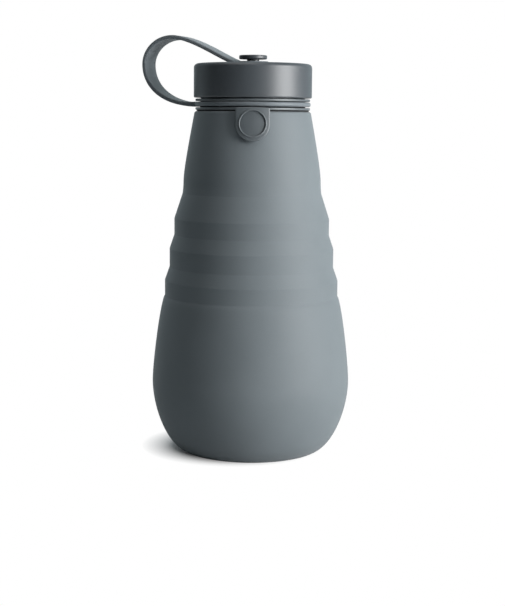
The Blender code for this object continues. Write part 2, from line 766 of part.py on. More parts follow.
def strap_solid(name, upper, lower, stage):
    # A strap length between its two faces, drawn in the plane of the loop and given its width
    outline = flat_outline(name, upper + list(reversed(lower)), STRAP_WIDTH)
    outline.rotation_euler = (math.pi / 2, 0.0, 0.0)
    return solid_from_curve(outline, stage)


def strap_faces():
    # Outer and inner face of the loop
    route = strap_route()
    return inset(route, STRAP_THICKNESS / 2), inset(route, -STRAP_THICKNESS / 2)


def make_strap_eye(stage):
    # Round eye under the knob, with the arm that reaches over the lid
    outer_face, inner_face = strap_faces()
    half_gap = SEAM / 2
    upper = split_at(outer_face, STRAP_SPLIT - half_gap)[0]
    lower = split_at(inner_face, STRAP_SPLIT - half_gap)[0]
    thin = (STRAP_THICKNESS - EYE_THICKNESS) / 2
    upper[0] = (upper[0][0], upper[0][1] - thin)
    lower[0] = (lower[0][0], lower[0][1] + thin)
    lower[1] = (lower[1][0], lower[1][1] + thin)
    arm = strap_solid("strap_arm", upper, lower, stage)
    outline = ring_outline(EYE_HOLE_RADIUS, EYE_RADIUS, EYE_BASE, EYE_TOP)
    eye = turned("strap_eye", outline, 0.0, KNOB_STEPS)
    return combine(eye, arm, "UNION", stage)


def make_carry_strap(stage):
    # Ring in the collar's groove, with the finger loop
    outer_face, inner_face = strap_faces()
    half_gap = SEAM / 2
    upper = split_at(outer_face, STRAP_SPLIT + half_gap)[1]
    lower = split_at(inner_face, STRAP_SPLIT + half_gap)[1]
    loop = strap_solid("strap_loop", upper, lower, stage)
    base = RING_MIDDLE - STRAP_RING_HEIGHT / 2
    outline = ring_outline(STRAP_RING_BORE, STRAP_RING_RADIUS, base, base + STRAP_RING_HEIGHT)
    ring = turned("carry_strap", outline, 0.0)
    return combine(ring, loop, "UNION", stage)


def main():
    clear_scene()
    bottle = new_collection("collapsible_water_bottle")
    cutters = new_collection("cutters")
    silicone = make_material("silicone", (96, 104, 108), 0.62)
    strap_silicone = make_material("strap_silicone", (84, 91, 96), 0.55)
    satin_plastic = make_material("satin_plastic", (70, 77, 82), 0.38)
    seal_silicone = make_material("seal_silicone", (150, 154, 156), 0.50)

    base_frame = make_frame("base_frame", bottle, 0.0)
    fold_1_frame = make_frame("fold_1_frame", bottle, RING_1_BASE)
    fold_2_frame = make_frame("fold_2_frame", bottle, RING_2_BASE)
    fold_3_frame = make_frame("fold_3_frame", bottle, RING_3_BASE)
    neck_frame = make_frame("neck_frame", bottle, SHOULDER_TOP)
    lid_frame = make_frame("lid_frame", bottle, LID_BASE, parent=neck_frame)
    strap_frame = make_frame("strap_frame", bottle, RING_MIDDLE, STRAP_BEARING, neck_frame)

    first, second, third = (ring_radius(number) for number in (1, 2, 3))
    bowl_upper = bowl_curves()[1]
    web_1_middle = radius_at(bowl_upper, (RIM_HEIGHT + RING_1_BASE) / 2)
    pieces = [
        (make_base_bowl(), base_frame, silicone),
        (
            make_fold_web("fold_web_1", rim_radius(), first, RIM_HEIGHT, RING_1_BASE, web_1_middle),
            fold_1_frame,
            silicone,
        ),
        (make_fold_ring(1, RING_1_BASE, RING_1_TOP), fold_1_frame, silicone),
        (make_fold_web("fold_web_2", first, second, RING_1_TOP, RING_2_BASE), fold_2_frame, silicone),
        (make_fold_ring(2, RING_2_BASE, RING_2_TOP), fold_2_frame, silicone),
        (make_fold_web("fold_web_3", second, third, RING_2_TOP, RING_3_BASE), fold_3_frame, silicone),
        (make_fold_ring(3, RING_3_BASE, RING_3_TOP), fold_3_frame, silicone),
        (
            make_fold_web("fold_web_4", third, shoulder_base_radius(), RING_3_TOP, SHOULDER_BASE),
            neck_frame,
            silicone,
        ),
        (make_shoulder(), neck_frame, silicone),
        (make_retaining_ring(), neck_frame, satin_plastic),
        (make_neck_sleeve(cutters), neck_frame, satin_plastic),
        (make_neck_collar(cutters), neck_frame, satin_plastic),
        (make_lid_shell(), lid_frame, satin_plastic),
        (make_lid_liner(cutters), lid_frame, satin_plastic),
        (make_lid_seal(), lid_frame, seal_silicone),
        (make_lid_knob(), lid_frame, satin_plastic),
        (make_strap_eye(cutters), strap_frame, strap_silicone),
        (make_carry_strap(cutters), strap_frame, strap_silicone),
    ]
    for piece, frame, material in pieces:
        place(piece, bottle, frame, material)
        piece.location.z -= frame.matrix_world.translation.z


main()
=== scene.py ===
import math

import bpy
from mathutils import Matrix, Vector
from mathutils.geometry import interpolate_bezier


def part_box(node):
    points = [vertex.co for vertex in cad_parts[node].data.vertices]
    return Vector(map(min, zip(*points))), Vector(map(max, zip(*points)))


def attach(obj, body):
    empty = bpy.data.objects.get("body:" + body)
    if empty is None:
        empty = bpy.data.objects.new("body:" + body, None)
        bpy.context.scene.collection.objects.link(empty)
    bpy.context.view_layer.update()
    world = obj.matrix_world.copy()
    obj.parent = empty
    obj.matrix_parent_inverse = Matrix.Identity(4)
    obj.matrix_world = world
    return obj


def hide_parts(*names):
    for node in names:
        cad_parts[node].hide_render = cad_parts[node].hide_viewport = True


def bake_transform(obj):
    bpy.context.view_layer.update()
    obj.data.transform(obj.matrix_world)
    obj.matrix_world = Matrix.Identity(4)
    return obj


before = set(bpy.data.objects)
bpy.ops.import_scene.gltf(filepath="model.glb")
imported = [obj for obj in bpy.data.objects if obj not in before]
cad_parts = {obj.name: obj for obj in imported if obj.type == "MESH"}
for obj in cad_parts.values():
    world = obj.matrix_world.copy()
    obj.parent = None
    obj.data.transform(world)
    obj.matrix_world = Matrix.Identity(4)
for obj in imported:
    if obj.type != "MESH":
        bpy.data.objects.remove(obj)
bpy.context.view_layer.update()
print("frame loaded:", len(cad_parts), "nodes")


# working habits: what is picked, and which mode the mesh is in

def deselectAll():
    if bpy.context.mode != "OBJECT":
        bpy.ops.object.mode_set(mode="OBJECT")
    bpy.ops.object.select_all(action="DESELECT")
    bpy.context.view_layer.objects.active = None


def pick(piece):
    deselectAll()
    piece.select_set(True)
    bpy.context.view_layer.objects.active = piece


def editPiece(piece, selectBy="VERT"):
    pick(piece)
    bpy.ops.object.mode_set(mode="EDIT")
    bpy.ops.mesh.select_mode(type=selectBy)
    bpy.ops.mesh.select_all(action="DESELECT")


def selectVerts(piece, wanted):
    # selects the vertices whose place passes the test, and stays in edit mode
    bpy.ops.mesh.select_all(action="DESELECT")
    bpy.ops.object.mode_set(mode="OBJECT")
    for vert in piece.data.vertices:
        vert.select = wanted(vert.co)
    bpy.ops.object.mode_set(mode="EDIT")


def applyModifier(piece, kind, **settings):
    pick(piece)
    modifier = piece.modifiers.new(kind.lower(), kind)
    for setting, value in settings.items():
        setattr(modifier, setting, value)
    bpy.ops.object.modifier_apply(modifier=modifier.name)


def combine(piece, tool, operation):
    # boolean with a second piece, which is used up
    applyModifier(piece, "BOOLEAN", operation=operation, solver="EXACT", object=tool)
    bpy.data.objects.remove(tool, do_unlink=True)


def shadeSmooth(piece, degrees=32, keepFlats=False):
    pick(piece)
    bpy.ops.object.shade_smooth_by_angle(angle=math.radians(degrees))
    if keepFlats:  # flat faces stay flat beside small roundings
        applyModifier(piece, "WEIGHTED_NORMAL", keep_sharp=True)


# outlines: points of (radius, height) that a piece is spun from

edges = {
    "fine": 0.0002,     # roundings of inner and lower edges that hardly show
    "soft": 0.0003,
}

trace = {
    "seed": 0.001,      # size of the plane that is merged to the first point
    "weld": 0.000005,   # points of a spin nearer than this are one
    "arcStep": 15,      # degrees between the points of a rounding
    "bevelSteps": 4,
    "spinSteps": 144,
    "smallSteps": 96,   # for a small round, such as the knob
}

near = {
    "line": 0.00001,    # how far off a place may be and still be picked
    "corner": 0.00005,
    "side": 0.0001,
    "end": 0.002,
}


def curve(start, startHandle, endHandle, end, steps):
    knots = [Vector(place) for place in (start, startHandle, endHandle, end)]
    return [(point.x, point.y, 0) for point in interpolate_bezier(*knots, steps + 1)]


def roundedCorner(before, corner, after, rounding):
    toBefore = (before - corner).normalized()
    toAfter = (after - corner).normalized()
    half = toBefore.angle(toAfter) / 2
    centre = corner + (toBefore + toAfter).normalized() * rounding / math.sin(half)
    start = corner + toBefore * rounding / math.tan(half) - centre
    turn = math.pi - 2 * half
    if toBefore.cross(toAfter) > 0:
        turn = -turn
    steps = max(2, math.ceil(abs(turn) / math.radians(trace["arcStep"])))
    return [centre + Matrix.Rotation(turn * step / steps, 2) @ start for step in range(steps + 1)]


def roundedOutline(corners, closed=True):
    # each corner is (radius, height, rounding)
    outline = []
    count = len(corners)
    for index, (radius, height, rounding) in enumerate(corners):
        corner = Vector((radius, height))
        atEnd = not closed and index in (0, count - 1)
        if rounding == 0 or atEnd:
            outline.append(corner)
            continue
        before = Vector(corners[index - 1][:2])
        after = Vector(corners[(index + 1) % count][:2])
        outline += roundedCorner(before, corner, after, rounding)
    return outline


def traceOutline(name, points, closed, side=0.0):
    # a plane merged to one vertex, which is extruded from point to point
    deselectAll()
    bpy.ops.mesh.primitive_plane_add(size=trace["seed"], location=(0, 0, 0))
    piece = bpy.context.active_object
    piece.name = name
    bpy.ops.object.mode_set(mode="EDIT")
    bpy.ops.mesh.select_mode(type="VERT")
    bpy.ops.mesh.select_all(action="SELECT")
    bpy.ops.mesh.merge(type="CENTER")
    bpy.ops.transform.translate(value=(points[0][0], side, points[0][1]))
    for before, after in zip(points, points[1:]):
        step = (after[0] - before[0], 0, after[1] - before[1])
        bpy.ops.mesh.extrude_vertices_move(TRANSFORM_OT_translate={"value": step})
    if closed:
        ends = {0, len(points) - 1}
        bpy.ops.object.mode_set(mode="OBJECT")
        for vert in piece.data.vertices:
            vert.select = vert.index in ends
        bpy.ops.object.mode_set(mode="EDIT")
        bpy.ops.mesh.edge_face_add()
    return piece


def spinOutline(name, corners, steps=trace["spinSteps"], closed=True):
    piece = traceOutline(name, roundedOutline(corners, closed), closed)
    bpy.ops.mesh.select_all(action="SELECT")
    bpy.ops.mesh.spin(steps=steps, angle=math.tau, center=(0, 0, 0), axis=(0, 0, 1))
    bpy.ops.mesh.select_all(action="SELECT")
    bpy.ops.mesh.remove_doubles(threshold=trace["weld"])
    bpy.ops.mesh.normals_make_consistent(inside=False)
    bpy.ops.object.mode_set(mode="OBJECT")
    return piece


def radiusAt(points, height):
    for low, high in zip(points, points[1:]):
        if low[1] <= height <= high[1]:
            share = (height - low[1]) / (high[1] - low[1])
            return low[0] + (high[0] - low[0]) * share
    return points[-1][0]


# silicone body: bowl, three stepped bands and the shoulder, in one skin

body = {
    "footRecessRadius": 0.0205,
    "footRecessDepth": 0.0009,
    "footRecessRounding": 0.0012,
    "footRadius": 0.0306,
    "footCurveOut": 0.0091,
    "footCurveUp": 0.0145,
    "bellyHeight": 0.0340,
    "bellyCurveUp": 0.0070,
    "bowlTopRadius": 0.04175,
    "bowlTopCurve": 0.0065,
    "bowlTopSlope": 0.395,
    "bowlSteps": 22,
    "foldRounding": 0.0014,
    "shoulderBaseCurve": 0.0095,
    "shoulderBaseSlope": 0.125,
    "shoulderTopCurve": 0.0373,
    "shoulderTopSlope": 0.189,
    "shoulderDrop": 0.0010,  # the soft fold under the shoulder shows this far below the solid's edge
    "shoulderSteps": 16,
    "lipOut": 0.0001,        # beyond the solid collar's flanges
    "lipDrop": 0.0002,
    "lipRounding": 0.0013,
    "lipBore": 0.0235,
    "wall": 0.0018,
    "foldStart": 0.0650,  # the skin's folding part lies above this height
    "foldEnd": 0.1250,    # and below this one
}


def bandCorners():
    corners = []
    for number in (1, 2, 3):
        low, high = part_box("fold_ring_%d" % number)
        corners.append((high.x, low.z, body["foldRounding"]))
        corners.append((high.x, high.z, body["foldRounding"]))
    return corners


def bowlCorners():
    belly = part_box("base_bowl")[1].x
    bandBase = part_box("fold_ring_1")[0].z
    bellyHeight = body["bellyHeight"]
    topCurve = body["bowlTopCurve"]
    lower = curve(
        (body["footRadius"], 0),
        (body["footRadius"] + body["footCurveOut"], 0),
        (belly, bellyHeight - body["footCurveUp"]),
        (belly, bellyHeight),
        body["bowlSteps"],
    )
    upper = curve(
        (belly, bellyHeight),
        (belly, bellyHeight + body["bellyCurveUp"]),
        (body["bowlTopRadius"] + topCurve * body["bowlTopSlope"], bandBase - topCurve),
        (body["bowlTopRadius"], bandBase),
        body["bowlSteps"],
    )
    return lower + upper[1:-1]


def shoulderCorners():
    low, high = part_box("shoulder")
    base = low.z - body["shoulderDrop"]
    baseCurve = body["shoulderBaseCurve"]
    top = high.z - body["lipDrop"]
    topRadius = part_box("neck_collar")[1].x + body["lipOut"]
    topCurve = body["shoulderTopCurve"]
    return curve(
        (high.x, base),
        (high.x - baseCurve * body["shoulderBaseSlope"], base + baseCurve),
        (topRadius + topCurve * body["shoulderTopSlope"], top - topCurve),
        (topRadius, top),
        body["shoulderSteps"],
    )


def makeBody():
    recess = body["footRecessRadius"]
    depth = body["footRecessDepth"]
    soft = body["footRecessRounding"]
    shoulder = shoulderCorners()
    base = shoulder[0]
    top = shoulder[-1]
    corners = [(0, depth, 0), (recess, depth, soft), (recess + soft, 0, soft)]
    corners += bowlCorners() + bandCorners()
    corners += [(base[0], base[1], body["foldRounding"])] + shoulder[1:-1]
    corners += [(top[0], top[1], body["lipRounding"]), (body["lipBore"], top[1], 0)]
    skin = spinOutline("bottleBody", corners, closed=False)
    applyModifier(skin, "SOLIDIFY", thickness=body["wall"], offset=-1, use_even_offset=True)
    shadeSmooth(skin, degrees=40)
    return skin


# hard collar at the neck, with its groove and the round-ended tab

collar = {
    "bore": 0.0235,
    "radius": 0.02715,
    "seatRise": 0.00005,    # above the silicone lip
    "seatGap": 0.00055,     # narrow dark gap above the shoulder
    "seatRadius": 0.0266,
    "seatRounding": 0.0001,
    "flange": 0.00115,
    "groove": 0.00290,
    "grooveFloor": 0.0249,
    "edgeRounding": 0.0004,
}

tab = {
    "width": 0.0163,
    "thickness": 0.0018,
    "centreDrop": 0.0061,   # round end's centre below the shoulder's top
    "topRise": 0.00025,     # straight top above the lower flange's top
    "standOff": 0.00035,
    "edgeRounding": 0.0006,
    "pocketRadius": 0.0061,
    "pocketFloorRadius": 0.0059,
    "pocketDepth": 0.0004,
    "ridgeRadius": 0.0062,  # thin ridge round the pocket
    "ridgeSection": 0.0004,  # radius of its round section
    "ridgeSides": 16,
    "ridgeSink": 0.0001,
    "ridgeTurn": 0.0121,    # radians, so that its edges don't fall on the pocket's
    "bridgeDepth": 0.0028,
    "bridgeHeight": 0.0006,
    "bridgeDrop": 0.0002,   # below the lower flange's top
    "bridgeInset": 0.0005,  # narrower than the tab at each side
    "bendSteps": 16,
}


def collarHeights():
    # seat, lower flange's underside and top, upper flange's underside and top
    seat = shoulderCorners()[-1][1] + collar["seatRise"]
    base = seat + collar["seatGap"]
    grooveBase = base + collar["flange"]
    grooveTop = grooveBase + collar["groove"]
    return seat, base, grooveBase, grooveTop, grooveTop + collar["flange"]


def makeCollarRing():
    seat, base, grooveBase, grooveTop, top = collarHeights()
    outer = collar["radius"]
    soft = collar["edgeRounding"]
    return spinOutline("neckCollar", [
        (outer, top, soft),
        (outer, grooveTop, soft),
        (collar["grooveFloor"], grooveTop, edges["fine"]),
        (collar["grooveFloor"], grooveBase, edges["fine"]),
        (outer, grooveBase, soft),
        (outer, base, soft),
        (collar["seatRadius"], base, collar["seatRounding"]),
        (collar["seatRadius"], seat, collar["seatRounding"]),
        (collar["bore"], seat, 0),
        (collar["bore"], top, edges["fine"]),
    ])


def tabLine():
    # along the shoulder's slope: the tab's face at the round end's centre, and its up direction
    shoulder = shoulderCorners()
    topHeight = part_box("shoulder")[1].z
    centreHeight = topHeight - tab["centreDrop"]
    footHeight = centreHeight - tab["width"] / 2
    footRadius = radiusAt(shoulder, footHeight)
    run = Vector((0, footRadius - shoulder[-1][0], topHeight - footHeight))
    up = run.normalized()
    outward = Vector((0, -up.z, up.y))
    centreRadius = footRadius - run.y * (centreHeight - footHeight) / run.z
    face = Vector((0, -centreRadius, centreHeight)) + outward * (tab["standOff"] + tab["thickness"])
    return face, up


def makeTabPlate(rise):
    # half a circle, its ends pulled up to the straight top, filled and given its thickness
    deselectAll()
    steps = trace["smallSteps"]
    bpy.ops.mesh.primitive_circle_add(vertices=steps, radius=tab["width"] / 2, fill_type="NOTHING")
    plate = bpy.context.active_object
    editPiece(plate)
    selectVerts(plate, lambda place: place.y > near["line"])
    bpy.ops.mesh.delete(type="VERT")
    selectVerts(plate, lambda place: place.y > -near["line"])
    bpy.ops.mesh.extrude_vertices_move(TRANSFORM_OT_translate={"value": (0, rise, 0)})
    bpy.ops.mesh.edge_face_add()
    bpy.ops.mesh.select_all(action="SELECT")
    bpy.ops.mesh.edge_face_add()
    bpy.ops.mesh.extrude_region_move(TRANSFORM_OT_translate={"value": (0, 0, -tab["thickness"])})
    bpy.ops.mesh.select_all(action="SELECT")
    bpy.ops.mesh.normals_make_consistent(inside=False)
    bpy.ops.object.mode_set(mode="OBJECT")
    soft = tab["edgeRounding"]
    applyModifier(plate, "BEVEL", width=soft, segments=trace["bevelSteps"], limit_method="ANGLE")
    return plate


def makeTabPocket():
    # a short cone: the pocket's wall leans out towards the face
    deselectAll()
    depth = tab["pocketDepth"]
    lean = tab["pocketRadius"] - tab["pocketFloorRadius"]
    bpy.ops.mesh.primitive_cone_add(
        vertices=trace["smallSteps"],
        radius1=tab["pocketFloorRadius"],
        radius2=tab["pocketRadius"] + lean,
        depth=depth * 2,
        location=(0, 0, 0),
    )
    return bpy.context.active_object


def makeTabRidge():
    deselectAll()
    bpy.ops.mesh.primitive_torus_add(
        major_segments=trace["smallSteps"],
        minor_segments=tab["ridgeSides"],
        major_radius=tab["ridgeRadius"],
        minor_radius=tab["ridgeSection"],
        location=(0, 0, -tab["ridgeSink"]),
        rotation=(0, 0, tab["ridgeTurn"]),
    )
    return bpy.context.active_object


def makeTabBridge(rise):
    # reaches from the tab's top back into the flange behind it
    front = -tab["thickness"] / 2
    back = -tab["thickness"] - tab["bridgeDepth"]
    top = rise - tab["topRise"] - tab["bridgeDrop"]
    base = top - tab["bridgeHeight"]
    deselectAll()
    bpy.ops.mesh.primitive_cube_add(size=1, location=(0, (top + base) / 2, (front + back) / 2))
    bridge = bpy.context.active_object
    editPiece(bridge)
    bpy.ops.mesh.select_all(action="SELECT")
    bpy.ops.transform.resize(value=(tab["width"] - 2 * tab["bridgeInset"], top - base, front - back))
    bpy.ops.object.mode_set(mode="OBJECT")
    bpy.ops.object.transform_apply(location=True, rotation=False, scale=False)
    return bridge


def bendTab(plate, radius):
    # upright strips, then bent round the bottle
    editPiece(plate)
    half = tab["width"] / 2
    steps = tab["bendSteps"]
    for step in range(1, steps):
        bpy.ops.mesh.select_all(action="SELECT")
        across = half * (2 * step / steps - 1)
        bpy.ops.mesh.bisect(plane_co=(across, 0, 0), plane_no=(1, 0, 0), use_fill=False)
    bpy.ops.object.mode_set(mode="OBJECT")
    turn = tab["width"] / radius
    applyModifier(plate, "SIMPLE_DEFORM", deform_method="BEND", deform_axis="Z", angle=turn)


def makeTab():
    face, up = tabLine()
    rise = (collarHeights()[2] + tab["topRise"] - face.z) / up.z
    plate = makeTabPlate(rise)
    combine(plate, makeTabPocket(), "DIFFERENCE")
    combine(plate, makeTabRidge(), "UNION")
    combine(plate, makeTabBridge(rise), "UNION")
    plate.matrix_world = Matrix.Rotation(math.radians(90), 4, "X")
    pick(plate)
    bpy.ops.object.transform_apply()
    bendTab(plate, -face.y)
    plate.matrix_world = Matrix.Translation(face) @ Matrix.Rotation(-math.asin(up.y), 4, "X")
    pick(plate)
    bpy.ops.object.transform_apply()
    return plate


def makeCollar():
    ring = makeCollarRing()
    combine(ring, makeTab(), "UNION")
    shadeSmooth(ring, degrees=32, keepFlats=True)
    return ring


# threaded neck sleeve, and the lid's liner with the thread that meets it

thread = {
    "starts": 2,
    "lead": 0.0080,
    "depth": 0.0012,
    "rootWidth": 0.0020,
    "crestWidth": 0.0010,
    "sink": 0.0004,        # the root's reach into its wall
    "clearBelow": 0.0012,  # from the solid lid's lower edge to the lowest flank
    "clearAbove": 0.0003,  # from the highest flank to the rim or the seal
    "stepsPerTurn": 64,
    "runOutSteps": 7,
    "runOutSize": 0.25,
}

sleeve = {
    "bore": 0.0210,
    "wall": 0.0022,
    "flangeRadius": 0.0247,
    "flangeHeight": 0.0012,
    "flangeRise": 0.0001,  # above the collar
    "hookWidth": 0.0010,
    "hookHeight": 0.0009,
    "rimRounding": 0.0007,
}

liner = {
    "bore": 0.0248,
    "radius": 0.02605,
    "plate": 0.0012,
    "plugRadius": 0.0203,
    "plugWall": 0.0012,
    "plugDepth": 0.0033,
    "plugRounding": 0.0006,
    "threadTurn": -0.25,   # of a turn, against the sleeve's thread
}


def ridgeSize(step, count):
    growth = min(step, count - step) / thread["runOutSteps"]
    return min(1, thread["runOutSize"] + (1 - thread["runOutSize"]) * growth)


def turnSelection(angle):
    # with no window the operator turns the other way, hence the minus
    bpy.ops.transform.rotate(value=-angle, orient_axis="Z", center_override=(0, 0, 0))


def makeRidge(name, wallRadius, outward, startTurn, low, high):
    # the ridge's section, extruded round the axis and up its lead, and run out at both ends
    root = wallRadius - outward * thread["sink"]
    crest = wallRadius + outward * thread["depth"]
    size = thread["runOutSize"]
    section = [
        (root, low - size * thread["rootWidth"] / 2),
        (root + (crest - root) * size, low - size * thread["crestWidth"] / 2),
        (root + (crest - root) * size, low + size * thread["crestWidth"] / 2),
        (root, low + size * thread["rootWidth"] / 2),
    ]
    ridge = traceOutline(name, section, closed=True)
    bpy.ops.mesh.select_all(action="SELECT")
    bpy.ops.mesh.edge_face_add()
    count = int((high - low) / thread["lead"] * thread["stepsPerTurn"])
    stepTurn = (high - low) / thread["lead"] * math.tau / count
    rise = (high - low) / count
    for step in range(1, count + 1):
        bpy.ops.mesh.extrude_region_move(TRANSFORM_OT_translate={"value": (0, 0, rise)})
        turnSelection(stepTurn)
        angle = stepTurn * step
        centre = (root * math.cos(angle), root * math.sin(angle), low + rise * step)
        growth = ridgeSize(step, count) / ridgeSize(step - 1, count)
        bpy.ops.transform.resize(value=(growth, growth, growth), center_override=centre)
    bpy.ops.mesh.select_all(action="SELECT")
    turnSelection(startTurn * math.tau)
    bpy.ops.mesh.normals_make_consistent(inside=False)
    bpy.ops.object.mode_set(mode="OBJECT")
    return ridge


def threadLow():
    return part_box("lid_shell")[0].z + thread["clearBelow"] + thread["rootWidth"] / 2


def addRidges(piece, wallRadius, outward, firstTurn, topHeight):
    high = topHeight - thread["clearAbove"] - thread["rootWidth"] / 2
    for start in range(thread["starts"]):
        turn = firstTurn + start / thread["starts"]
        ridge = makeRidge("ridge%d" % start, wallRadius, outward, turn, threadLow(), high)
        combine(piece, ridge, "UNION")


def makeSleeve():
    low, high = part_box("neck_sleeve")
    outer = sleeve["bore"] + sleeve["wall"]
    flangeBase = collarHeights()[-1] + sleeve["flangeRise"]
    flangeRadius = sleeve["flangeRadius"]
    flangeTop = flangeBase + sleeve["flangeHeight"]
    hookTop = low.z + sleeve["hookHeight"]
    piece = spinOutline("neckSleeve", [
        (outer, high.z, sleeve["rimRounding"]),
        (outer, flangeTop, edges["fine"]),
        (flangeRadius, flangeTop, edges["soft"]),
        (flangeRadius, flangeBase, edges["fine"]),
        (outer, flangeBase, 0),
        (outer, hookTop, 0),
        (outer + sleeve["hookWidth"], hookTop, edges["fine"]),
        (outer, low.z, 0),
        (sleeve["bore"], low.z, edges["soft"]),
        (sleeve["bore"], high.z, sleeve["rimRounding"]),
    ])
    addRidges(piece, outer, 1, 0, high.z)
    shadeSmooth(piece, degrees=32, keepFlats=True)
    return piece


def makeLiner():
    low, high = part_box("lid_liner")
    plate = high.z - liner["plate"]
    plugBase = plate - liner["plugDepth"]
    plugFloor = plugBase + liner["plate"]
    plugBore = liner["plugRadius"] - liner["plugWall"]
    piece = spinOutline("lidLiner", [
        (0, plugFloor, 0),
        (plugBore, plugFloor, edges["soft"]),
        (plugBore, high.z, edges["fine"]),
        (liner["radius"], high.z, edges["fine"]),
        (liner["radius"], low.z, edges["soft"]),
        (liner["bore"], low.z, edges["soft"]),
        (liner["bore"], plate, edges["soft"]),
        (liner["plugRadius"], plate, edges["soft"]),
        (liner["plugRadius"], plugBase, liner["plugRounding"]),
        (0, plugBase, 0),
    ], closed=False)
    addRidges(piece, liner["bore"], -1, liner["threadTurn"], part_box("lid_seal")[0].z)
    shadeSmooth(piece, degrees=32, keepFlats=True)
    return piece


# lid: satin shell and the knob that holds the strap's eye

lid = {
    "wall": 0.0016,
    "top": 0.0015,
    "holeRadius": 0.0032,
    "topRounding": 0.0020,
    "lowerRounding": 0.0006,
    "skirtDrop": 0.0004,    # the skirt reaches this far below the solid's
    "steps": 192,
}

knob = {
    "capHeight": 0.0020,
    "crownShare": 0.55,     # of the cap's radius, where its faint dome turns down
    "crownDrop": 0.00003,
    "rimDrop": 0.00018,
    "capRounding": 0.0005,
    "capUnderRounding": 0.0004,
    "stemRadius": 0.0029,
    "footRadius": 0.0050,
    "footHeight": 0.0010,
}


def makeLidShell():
    low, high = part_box("lid_shell")
    base = low.z - lid["skirtDrop"]
    inner = high.x - lid["wall"]
    ceiling = high.z - lid["top"]
    piece = spinOutline("lidShell", [
        (lid["holeRadius"], high.z, edges["fine"]),
        (high.x, high.z, lid["topRounding"]),
        (high.x, base, lid["lowerRounding"]),
        (inner, base, edges["soft"]),
        (inner, ceiling, 0),
        (lid["holeRadius"], ceiling, 0),
    ], steps=lid["steps"])
    shadeSmooth(piece, degrees=40, keepFlats=True)
    return piece


def makeKnob():
    low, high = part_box("lid_knob")
    capBase = high.z - knob["capHeight"]
    footTop = low.z + knob["footHeight"]
    piece = spinOutline("lidKnob", [
        (0, high.z, 0),
        (high.x * knob["crownShare"], high.z - knob["crownDrop"], 0),
        (high.x, high.z - knob["rimDrop"], knob["capRounding"]),
        (high.x, capBase, knob["capUnderRounding"]),
        (knob["stemRadius"], capBase, edges["fine"]),
        (knob["stemRadius"], footTop, edges["fine"]),
        (knob["footRadius"], footTop, 0),
        (knob["footRadius"], low.z, edges["fine"]),
        (0, low.z, 0),
    ], steps=trace["smallSteps"], closed=False)
    shadeSmooth(piece, degrees=40, keepFlats=True)
    return piece


# carry strap: ring in the collar's groove, finger loop, arm over the lid and the eye under the knob

strap = {
    "bearing": 160,           # degrees from +X to where the loop points
    "width": 0.0125,
    "thickness": 0.0018,
    "edgeRounding": 0.0005,
    "ringHeight": 0.0021,
    "ringBore": 0.0252,
    "ringRounding": 0.00082,
    "ringOverlap": 0.0011,
    "ringRise": 0.0001,       # above the middle of the collar's groove
    "rootThickness": 0.0024,  # where the loop runs into the ring
    "rootReach": 0.0070,
    "rootSteps": 8,
    "stayDrop": 0.0014,       # from this far below the solid collar's top, the strap lies in its groove
    "eyeRadius": 0.0074,
    "eyeHole": 0.0032,
    "eyeThickness": 0.0010,
    "eyeGap": 0.0002,         # eye above the lid
    "eyeRounding": 0.0004,
    "eyeReach": 0.0003,       # the arm is thin up to this far beyond the eye
    "eyeSink": 0.00004,       # and this much thinner than the eye
    "armStart": 0.0010,       # from the eye's hole
    "crestOut": 0.0120,       # beyond the neck ring
    "crestRise": 0.0127,      # above the lid's top
    "crestHandleIn": 0.0106,
    "crestHandleOut": 0.0082,
    "reachOut": 0.0264,
    "reachRise": 0.0,
    "reachHandleUp": 0.0066,
    "reachHandleDown": 0.0125,
    "ringHandle": 0.0147,
    "ringHandleDrop": 0.0009,
    "armHandle": 0.0040,
    "armSteps": 40,
    "crestSteps": 26,
    "returnSteps": 44,
}


def strapPlaces():
    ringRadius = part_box("neck_collar")[1].x
    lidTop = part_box("lid_shell")[1].z
    _, _, grooveBase, grooveTop, _ = collarHeights()
    eye = (strap["eyeRadius"], lidTop + strap["eyeGap"] + strap["eyeThickness"] / 2)
    crest = (ringRadius + strap["crestOut"], lidTop + strap["crestRise"])
    reach = (ringRadius + strap["reachOut"], lidTop + strap["reachRise"])
    ring = (ringRadius - strap["ringOverlap"], (grooveBase + grooveTop) / 2 + strap["ringRise"])
    return eye, crest, reach, ring


def strapRoute():
    # centre line from the eye over the lid, out to the loop's farthest reach and back to the ring
    eye, crest, reach, ring = strapPlaces()
    arm = curve(
        eye,
        (eye[0] + strap["armHandle"], eye[1]),
        (crest[0] - strap["crestHandleIn"], crest[1]),
        crest,
        strap["armSteps"],
    )
    turn = curve(
        crest,
        (crest[0] + strap["crestHandleOut"], crest[1]),
        (reach[0], reach[1] + strap["reachHandleUp"]),
        reach,
        strap["crestSteps"],
    )
    back = curve(
        reach,
        (reach[0], reach[1] - strap["reachHandleDown"]),
        (ring[0] + strap["ringHandle"], ring[1] - strap["ringHandleDrop"]),
        ring,
        strap["returnSteps"],
    )
    return [(strap["eyeHole"] + strap["armStart"], eye[1], 0)] + arm + turn[1:] + back[1:]


def isAcross(first, second, end):
    # true for an edge through the strap's thickness at one end of its route
    middle = (first + second) / 2
    return abs(middle.x - end[0]) < near["corner"] and abs(middle.z - end[1]) < near["corner"]


